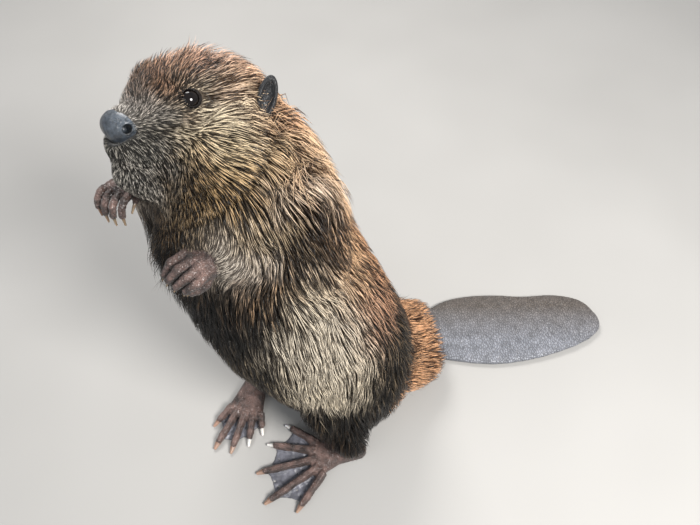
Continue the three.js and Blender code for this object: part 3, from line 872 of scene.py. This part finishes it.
def near_hand(p):
    """Distances to the near forepaw: palm and folded fingers."""
    back, front = NEAR_WRIST
    palm = limb(p, back, front, 7.5, 9.0)
    fingers = None
    for k, (knuckle, middle, tip, _) in enumerate(NEAR_FINGERS):
        palm = join(palm, limb(p, front, knuckle, 9.0, 5.4 if k else 4.2), 4)
        finger = join(limb(p, knuckle, middle, 5.2, 4.6), limb(p, middle, tip, 4.5, 3.5), 1.2)
        fingers = finger if fingers is None else join(fingers, finger, 0.5)
    return join(palm, fingers, 2.0)


# from the wrists to the fingers
FORWARD = {"left": norm(np.array([-18.7, -3.0, 6.4])), "right": turn(70, 28, 0)[:, 0]}
SLEEVE = 4.0  # how far past the wrist the coat goes on
PAW_EDGE = 2.5  # how far the bare skin reaches past the hand's own solid
PAW_MARGIN = 14.0
ANKLE_TOP, SOLE_EDGE, WEB_TOP = 46.0, 2.2, 8.0  # heights over the ground
palms, hands = {}, {}
for name in ("left", "right"):
    nodes = [f"paw_{name}"]
    box = box_of(nodes, PAW_MARGIN)
    palms[name] = np.mean(box, axis=0)
    if name == "left":
        box = np.min(NEAR_FINGERS, axis=(0, 1)), np.max(NEAR_FINGERS + [NEAR_WRIST * 2], axis=(0, 1))
        box = box[0] - PAW_MARGIN, box[1] + PAW_MARGIN
        paw = Field(*box, PAW_VOXEL)
        paw.value = near_hand(paw.points())
    else:
        paw = firm(nodes, PAW_VOXEL, 0.6, 0.25, box)
    hands[name] = paw
    p = paw.points()
    wrinkles = 0.3 * np.sin(waves(p, 9.0, 21) * 2.4 + p @ np.array([0.9, 0.5, 0.8], np.float32))
    whole = join(paw.value + wrinkles, body.sample(p) - 0.4, 3.0)
    shown = Field(*box, PAW_VOXEL)
    shown.value = np.maximum(whole, paw.value - PAW_EDGE)
    if name == "right":
        shown.value = np.maximum(shown.value, SLEEVE - (p - WRISTS[name].astype(np.float32)) @ FORWARD[name])
    add_skin(f"paw_{name}_skin", shown, BARE, nodes)

for name in ("left", "right"):
    toes = [f"toe_{name}_{i}" for i in range(1, 6)]
    nodes = toes + [f"foot_{name}"]
    box = box_of(nodes, 5.0)
    foot = firm(toes, FOOT_VOXEL, 0.7, 0.3, box)
    instep = joined(foot, [f"foot_{name}"], 6.0)
    p = foot.points()
    folds = 0.3 * np.sin(waves(p, 12.0, 31) * 2.4 + p @ np.array([0.8, 0.9, 0.3], np.float32))
    z = p[..., 2]
    upper = np.where(z > SOLE_EDGE, instep, np.maximum(instep, SOLE_EDGE - z + 6 * (instep > -3)))
    foot.value = join(foot.value + folds, blurred(upper, 1.4), 5.0)
    foot.value = np.maximum(np.maximum(join(foot.value, body.sample(p) - 0.3, 8.0), -z), z - ANKLE_TOP)
    add_skin(f"foot_{name}_skin", foot, BARE, nodes)
    web = Field(foot.low, [*box[1][:2], WEB_TOP], WEB_VOXEL)
    p = web.points()
    slab = web.level_set(*mesh_arrays(f"foot_{name}"), 6.0)
    covered = blurred((slab[:, :, [round((0.75 - web.low[2]) / web.voxel)]] < 0).astype(np.float32), 1.6)
    toe_gap = np.maximum(foot.sample(p), 0)
    top = 1.3 + 2.4 * np.exp(-((toe_gap / 3.0) ** 2)) + 0.25 * waves(p, 9.0, 33)
    web.value = np.maximum((0.5 - covered) * 5.0, np.maximum(p[..., 2] - top, 0.1 - p[..., 2]))
    web.value = np.maximum(web.value, -(foot.sample(p) + 1.2))
    add_skin(f"web_{name}_skin", web, WEBBING, ())

low, high = box_of(["tail_paddle", "tail_base"], 6.0)
tail = firm(["tail_paddle"], TAIL_VOXEL, 2.6, 0.5, ([TAIL_STARTS - 6, low[1], -5], high))
p = tail.points()
tail.value = join(tail.value, egg(p, (255, 128, 5), (68, 36, 5.5)), 6)  # the far half is broad almost to the tip
tail.value = join(tail.value, egg(p, (135, 120, 5.5), (95, 42, 5.5)), 6)
rounded = egg(np.concatenate([np.maximum(p[..., :1], 200), p[..., 1:]], axis=-1), (200, 112, 5), (124, 80, 60))
tail.value = -join(-tail.value, -rounded, 5)
beyond = np.maximum(body.sample(p) - 0.7, TAIL_STARTS - p[..., 0])
tail.value = np.maximum(join(tail.value, beyond, 16.0), -p[..., 2])
add_skin("tail_leather", tail, TAIL, ("tail_paddle",))

# claws, paler towards the tip
CLAWS = [(f"claw_fore_{s}_{i}", 0.45, (58, 49, 42), (126, 108, 86)) for s in ("left", "right") for i in range(1, 6)]
PALE_CLAW, BROWN_CLAW = ((150, 140, 132), (236, 230, 224)), ((92, 72, 63), (160, 130, 112))
HIND_CLAW_TONES = [PALE_CLAW, PALE_CLAW, BROWN_CLAW, BROWN_CLAW, BROWN_CLAW]
CLAWS += [(f"claw_hind_{s}_{i}", 0.5, *HIND_CLAW_TONES[i - 1]) for s in ("left", "right") for i in range(1, 6)]
for node, voxel, root_tone, tip_tone in CLAWS:
    if "fore_left" in node:
        tip, point = np.array(NEAR_FINGERS[int(node[-1]) - 1][2:])
        claw = Field(np.minimum(tip, point) - 4, np.maximum(tip, point) + 4, voxel * FINE)
        claw.value = limb(claw.points(), tip, point, 2.0, 0.6)
    else:
        claw = firm([node], voxel * FINE, 0.45, 0.45 if "fore" in node else 0.85, box_of([node], 3.0))
    points, quads = claw.surface()
    away = apart(points, (palms if "fore" in node else ANKLES)[node.split("_")[2]])
    share = smoothstep(away, away.min(), away.max())[:, None]
    tone = linear(root_tone) * (1 - share) + linear(tip_tone) * share
    add_piece(f"{node}_horn", points, quads, HORN, (node,), tint=tone.astype(np.float32))

torso = Field(body.low, body.low + body.voxel * (np.array(body.shape) - 1), HIDDEN_VOXEL)  # the coat covers it
torso.value = body.sample(torso.points())
# it sinks inside the head's ball, where the finer skin of the head covers it
torso.value += 2.0 * smoothstep(-ball(torso.points(), HEAD_MIDDLE, HEAD_REACH - 8), 0, 6)
add_skin("skin_body", torso, UNDERCOAT, [n for n in FURRED if n != "head"], tinted=True)

# ---------------------------------------------------------------- the coat


def bald(p):
    """Where no hair grows: eyes, nose, ears, hands, feet and the tail's paddle."""
    q = HEAD.into(p)
    bare = (egg(q, NOSE_AT, NOSE_HALVES) < 0.8) & (nose_edge(q) > 0)
    for centre, *_ in EYES.values():
        bare |= apart(p, centre) < EYE_RADIUS + 1.2
    for axes in EARS.values():
        bare |= egg(axes.into(p), (0, 0, 0), EAR_HALVES) < 2.5
    for name, hand in hands.items():
        inside = np.all((p > hand.low) & (p < hand.low + hand.voxel * np.array(hand.shape)), axis=1)
        beyond = (p - WRISTS[name]) @ FORWARD[name]
        bare |= inside & (hand.sample(p) < 1.0) & (beyond > SLEEVE + 4)
    for ankle in ANKLES.values():
        low = 8 + 18 * smoothstep(ankle[0] - p[:, 0], -10, 5)
        bare |= (p[:, 2] < low) & (apart(p, ankle) < 62)
    bare |= tail_border(p) > 0
    return bare | (p[:, 2] < 3)


def coat_measures(p):
    """Length, width and height over the skin of the hairs, in millimetres."""
    behind = -HEAD.into(p)[:, 0]
    length = 4.2 + 3.2 * smoothstep(behind, 10, 40) + 16.0 * smoothstep(behind, 36, 84)
    length = length + 7.0 * smoothstep(behind, 110, 160)
    width = 0.36 + 0.2 * smoothstep(behind, 20, 60) + 0.3 * smoothstep(behind, 50, 130)
    length = length * (1 - 0.4 * smoothstep(tail_border(p), -40, -10))
    for wrist in WRISTS.values():
        near = 1 - smoothstep(apart(p, wrist), 10, 58)
        length, width = length * (1 - 0.55 * near), width * (1 - 0.35 * near)
    for ankle in ANKLES.values():
        near = (1 - smoothstep(apart(p, ankle), 34, 110)) * smoothstep(ankle[0] - p[:, 0], -25, 5)
        length, width = length * (1 - 0.5 * near), width * (1 - 0.2 * near)
    for centre, *_ in EYES.values():
        away = apart(p, centre)
        length = length * (1 - 0.5 * (1 - smoothstep(away, 9, 26)))
        before = smoothstep(HEAD.into(p)[:, 0] - HEAD.into(centre[None])[0, 0], -6, 0) * (away < 34)
        length = length * (1 - before) + np.minimum(length, np.maximum(1.8, away - EYE_RADIUS)) * before
    for axes in EARS.values():
        gap = egg(axes.into(p), (0, 0, 0), EAR_HALVES)
        before = smoothstep(HEAD.into(p)[:, 0] - HEAD.into(axes.origin[None])[0, 0], -6, 2)
        short = np.minimum(length, np.maximum(2.5, 0.8 * gap))
        length = np.where(gap < 34, length * (1 - before) + short * before, length)
    return length, width, coat_depth(p)


def scatter(points, quads, count, thickness):
    """Places on the quads, more of them where thickness is high, drawn evenly."""
    corners = points[quads]
    area = 0.5 * np.linalg.norm(np.cross(corners[:, 2] - corners[:, 0], corners[:, 3] - corners[:, 1]), axis=1)
    weight = area * thickness(corners.mean(axis=1))
    steps = (np.arange(count) + rng.random(count)) / count
    chosen = corners[np.searchsorted(np.cumsum(weight) / weight.sum(), steps).clip(0, len(quads) - 1)]
    u, v = rng.random((count, 1)), rng.random((count, 1))
    return (chosen[:, 0] * (1 - u) + chosen[:, 1] * u) * (1 - v) + (chosen[:, 3] * (1 - u) + chosen[:, 2] * u) * v


def gather(roots, d, across, along):
    """For each root the number of its clump's leading hair, and how far out it stands, about 1 on average."""
    leaders = np.sort(rng.permutation(len(roots))[: max(8, int(len(roots) / HAIRS_PER_CLUMP))])
    tree = kdtree.KDTree(len(leaders))
    for k, place in enumerate(roots[leaders].tolist()):
        tree.insert(place, k)
    tree.balance()
    near = np.array([[hit[1] for hit in tree.find_n(place, 6)] for place in roots.tolist()])
    rel = roots[leaders][near] - roots[:, None, :]
    forward = (rel * d[:, None, :]).sum(axis=2)
    sideways = (rel**2).sum(axis=2) - forward**2
    best = np.argmin(sideways / across**2 + forward**2 / along**2, axis=1)
    rows = np.arange(len(roots))
    leader, aside = leaders[near[rows, best]], np.sqrt(sideways[rows, best].clip(0))
    mean = np.bincount(leader, aside, len(roots)) / np.maximum(np.bincount(leader, minlength=len(roots)), 1)
    return leader, aside / np.maximum(mean[leader], 0.1)


def unwrapped(p, low, high, axis_low, axis_high):
    """A place on the skin unrolled round a line, as two numbers from 0 to 1."""
    line = np.asarray(axis_high, float) - axis_low
    length = np.linalg.norm(line)
    ahead = line / length
    across = norm(np.cross(ahead, [0.3, 0.9, 0.2]))
    rel = p - axis_low
    turned = np.arctan2(rel @ np.cross(ahead, across), rel @ across) / (2 * math.pi) + 0.5
    risen = (rel @ ahead - low) / (high - low)
    return np.column_stack([turned, risen.clip(0, 1)]) * 0.99


PATCH = 0.003  # of the unwrap, for each lock
PIECE_TRIANGLES = 190000
HAIRS_PER_CLUMP = 7
PULL_MID, PULL_TIP = 0.3, 0.7  # how far hairs close up with their clump halfway and at the tip
LOOSE = 0.18  # share of short dark hairs that join no clump
SWING = 0.06  # spread of single hairs from the lie
CURVED_SHARE = 0.15  # of the hairs that lead no clump
TALLEST = 18.5  # how far from the skin a hair's tip may stand
RUFFLED_REACH = 52.0  # round the crown, where each clump stands up by its own share


# A hair has three corners at its root, three halfway and its tip. Each kind: the corners it has, and its faces.
CORNERS_UNWRAPPED = np.array([[0, 0], [1, 0], [0.5, 0.1], [0.1, 0.5], [0.9, 0.5], [0.5, 0.6], [0.5, 1]]) * PATCH
LOWER_FACES = [[0, 1, 2], [0, 3, 4], [0, 4, 1], [1, 4, 5], [1, 5, 2], [2, 5, 3], [2, 3, 0]]
UPPER_FACES = [[3, 6, 4], [4, 6, 5], [5, 6, 3]]
KINDS = {
    "guard": ([0, 1, 2, 3, 4, 5, 6], np.array(LOWER_FACES + UPPER_FACES)),
    "under": ([0, 1, 2, 6], np.array([[0, 1, 2], [0, 3, 1], [1, 3, 2], [2, 3, 0]])),
}


def add_locks(name, kind, roots, points, tones, axis):
    """Closed locks in pieces below the limit of triangles, each lock with its patch of the unwrapped skin."""
    kept, faces = KINDS[kind]
    points, tones = (np.stack([corners[k] for k in kept], axis=1) for corners in (points, tones))
    patches = unwrapped(roots, *axis)[:, None, :] + CORNERS_UNWRAPPED[kept]
    order = np.argsort(roots @ np.array([0.35, -0.2, 1.0]))
    pieces = max(1, math.ceil(len(roots) * len(faces) / PIECE_TRIANGLES))
    for k, chosen in enumerate(np.array_split(order, pieces)):
        add_piece(
            f"{name}_{kind}_{k + 1}",
            points[chosen].reshape(-1, 3),
            (faces + len(kept) * np.arange(len(chosen))[:, None, None]).reshape(-1, 3),
            COAT,
            tint=tones[chosen].reshape(-1, 3),
            patches=patches[chosen].reshape(-1, 2),
        )


def grow_coat(name, field, roots, axis):
    """Solid hairs that lie along the skin and close up in pointed clumps."""
    roots = roots[~bald(roots)]
    roots = field.hold(roots, 0)
    n = field.gradient(roots)
    count = len(roots)
    length, width, depth = coat_measures(roots)
    d = lie(roots, n)
    side = np.cross(d, n)
    swing = 0.13 * waves(roots, 38, 51) + rng.normal(0, SWING, count)
    d = norm(d + side * swing[:, None])
    side = np.cross(d, n)
    leader, out = gather(roots, d, 1.0, 3.0)
    is_leader = leader == np.arange(count)
    loose = (rng.random(count) < LOOSE) & ~is_leader
    chance = rng.random(count)
    curved = is_leader | (chance > 1 - CURVED_SHARE)
    own = length * np.where(curved, rng.uniform(0.8, 1.1, count), rng.uniform(0.5, 0.85, count))
    own = np.where(is_leader, length * rng.uniform(1.1, 1.5, count), own) * np.where(loose, 0.7, 1.0)
    width = width * np.where(is_leader, 1.3, rng.uniform(0.75, 1.15, count))
    stand = depth * np.where(curved, rng.uniform(0.65, 1.0, count), rng.uniform(0.4, 0.8, count))
    stand = np.where(is_leader, depth * rng.uniform(1.0, 1.35, count), stand * (1.15 - 0.3 * out.clip(0, 2)))
    raised, ruffled = extra_stand(roots), bell(roots, CROWN, RUFFLED_REACH)
    stand = stand * (1 + raised * rng.uniform(0.3, 1.7, count)[leader])
    stand = stand * (1 + ruffled * rng.uniform(-0.5, 0.3, count)[leader])
    stand = np.maximum(stand * np.where(loose, 0.6, 1.0), 0.8).clip(max=TALLEST)
    own = own * (1 - 0.35 * ruffled)
    free_tip = roots + d * own[:, None]
    share_tip = np.where(loose, 0.0, PULL_TIP * rng.uniform(0.7, 1.1, count))[:, None]
    aside = free_tip[leader] - free_tip
    aside -= 0.85 * (aside * d).sum(axis=1, keepdims=True) * d
    aside *= np.minimum(1, 6.0 / np.linalg.norm(aside, axis=1, keepdims=True).clip(0.1))
    tip = free_tip + aside * share_tip
    mid = roots + d * own[:, None] * 0.5 + aside * share_tip * PULL_MID / PULL_TIP
    mid, tip = field.hold(mid, stand * 0.72), field.hold(tip, stand)
    mid[:, 2], tip[:, 2] = mid[:, 2].clip(1.0), tip[:, 2].clip(0.6)  # none reaches below the ground
    base = roots - n * 0.8
    light, dark, share = markings(roots + d * (0.5 * length)[:, None])
    lead_light = (rng.random(count) < 0.08 + 0.9 * share)[leader]
    is_light = np.where(lead_light, chance > 0.5, chance > 0.94) & ~loose | (is_leader & lead_light)
    mix = np.where(is_light, rng.uniform(0.5, 1.0, count), rng.uniform(0.0, 0.07, count))[:, None]
    shade = rng.normal(1.0, 0.2, (count, 1)).clip(0.5, 1.6)
    tip_tone = (dark * (1 - mix) + light * mix) * shade
    tip_tone /= np.maximum(tip_tone.max(axis=1, keepdims=True) / PALEST, 1)
    mid_tone = tip_tone * 0.8
    root_tone = dark * 0.4
    half, ridge = (width * 0.5)[:, None], (width * 0.42)[:, None]

    def ring(at, share):
        return [at - side * half * share, at + side * half * share, at + n * ridge * share]

    points = ring(base, 1.0) + ring(mid, 0.9) + [tip]
    tones = [root_tone] * 3 + [mid_tone] * 3 + [tip_tone]
    for kind, c in (("guard", curved), ("under", ~curved)):
        add_locks(name, kind, roots[c], [v[c] for v in points], [v[c] for v in tones], axis)


RAISED = [  # where the hair stands up more than elsewhere: place, reach, how much more
    (np.array([-140.0, 85, 480]), 34, 0.8),  # nape
    (np.array([-100.0, 72, 440]), 44, 1.0),
    (np.array([-278.0, 5, 362]), 30, 1.4),  # chest
    (np.array([60.0, 30, 40]), 60, 1.2),  # over the tail
]


def extra_stand(p):
    """How much further than the plain coat the hair stands up, as a share of it."""
    return sum(more * bell(p, at, reach) for at, reach, more in RAISED)


THIN = 1.0  # share of the locks grown
HEAD_ROOTS, BODY_ROOTS = int(100000 * THIN), int(140000 * THIN)


def in_head(p):
    return apart(p, HEAD_MIDDLE) < HEAD_REACH - 6


def head_thickness(p):
    behind = -HEAD.into(p)[:, 0]
    return in_head(p) * (1.0 + 3.6 * (1 - smoothstep(behind, 20, 100)))


def body_thickness(p):
    near_paw = np.max([1 - smoothstep(apart(p, w), 14, 62) for w in WRISTS.values()], axis=0)
    high = smoothstep(p[:, 2], 330, 430)
    tail_part = (p[:, 0] > -10) & (p[:, 2] < 130)
    return ~in_head(p) * (1.0 + 0.9 * high + 1.2 * near_paw + 0.3 * tail_part)


skull_points, skull_quads = skull.surface()
head_axis = (0.0, 160.0, HEAD.out([0, 0, 0]), HEAD.out([-160, 0, 0]))
head_roots = scatter(skull_points, skull_quads, HEAD_ROOTS, head_thickness)
grow_coat("coat_head", skull, head_roots, head_axis)

body_points, body_quads = body.surface()
rooted = scatter(body_points, body_quads, BODY_ROOTS, body_thickness)
at_rump = (rooted[:, 0] > -10) & (rooted[:, 2] < 130)
body_axis = (-20.0, 500.0, COLUMN_FOOT, COLUMN_TOP)
rump_axis = (-40.0, 140.0, row(60, 26, 60), row(150, 74, 22))
grow_coat("coat_body", body, rooted[~at_rump], body_axis)
grow_coat("coat_rump", body, rooted[at_rump], rump_axis)

# ---------------------------------------------------------------- floor, lights and camera

floor_look = Look("studio_floor", 0.75)
floor_look.paint(floor_look.mottled(400.0, 0.3, (160, 158, 155), (167, 165, 162), detail=2.0))
FLOOR_HALF = 4000.0
floor_mesh = bpy.data.meshes.new("floor")
floor_corners = [Vector((x, y, 0)) * FLOOR_HALF * MM for x, y in ((-1, -1), (1, -1), (1, 1), (-1, 1))]
floor_mesh.from_pydata(floor_corners, [], [(0, 1, 2, 3)])
floor_mesh.materials.append(floor_look.material)
floor = bpy.data.objects.new("floor", floor_mesh)
bpy.context.scene.collection.objects.link(floor)


def area_light(name, at, target, size, power, colour):
    data = bpy.data.lights.new(name, "AREA")
    data.shape, data.size, data.energy, data.color = "DISK", size, power, colour
    lamp = bpy.data.objects.new(name, data)
    lamp.location = Vector(at)
    lamp.rotation_euler = (Vector(target) - Vector(at)).to_track_quat("-Z", "Y").to_euler()
    bpy.context.scene.collection.objects.link(lamp)


MIDDLE = (-0.05, 0.0, 0.25)
area_light("key", (0.85, -0.75, 1.5), MIDDLE, 0.7, 54, (1.0, 0.985, 0.96))
area_light("fill", (-1.2, -0.9, 1.1), MIDDLE, 1.6, 7, (0.94, 0.97, 1.0))
area_light("rim", (-0.5, 1.2, 1.6), MIDDLE, 0.8, 30, (1.0, 0.98, 0.95))

world = bpy.data.worlds.new("studio")
world.use_nodes = True
sky = world.node_tree.nodes["Background"].inputs
sky["Color"].default_value, sky["Strength"].default_value = (0.86, 0.9, 0.96, 1), 0.42
bpy.context.scene.world = world
bpy.context.scene.view_settings.view_transform = "Standard"

camera_data = bpy.data.cameras.new("camera")
camera_data.sensor_width = SENSOR
camera_data.lens = FOCAL / IMAGE_WIDTH * SENSOR
camera = bpy.data.objects.new("camera", camera_data)
camera.location = Vector(LENS_AT) * MM
camera.rotation_euler = (math.pi / 2 - PITCH, 0, 0)
bpy.context.scene.collection.objects.link(camera)
bpy.context.scene.camera = camera
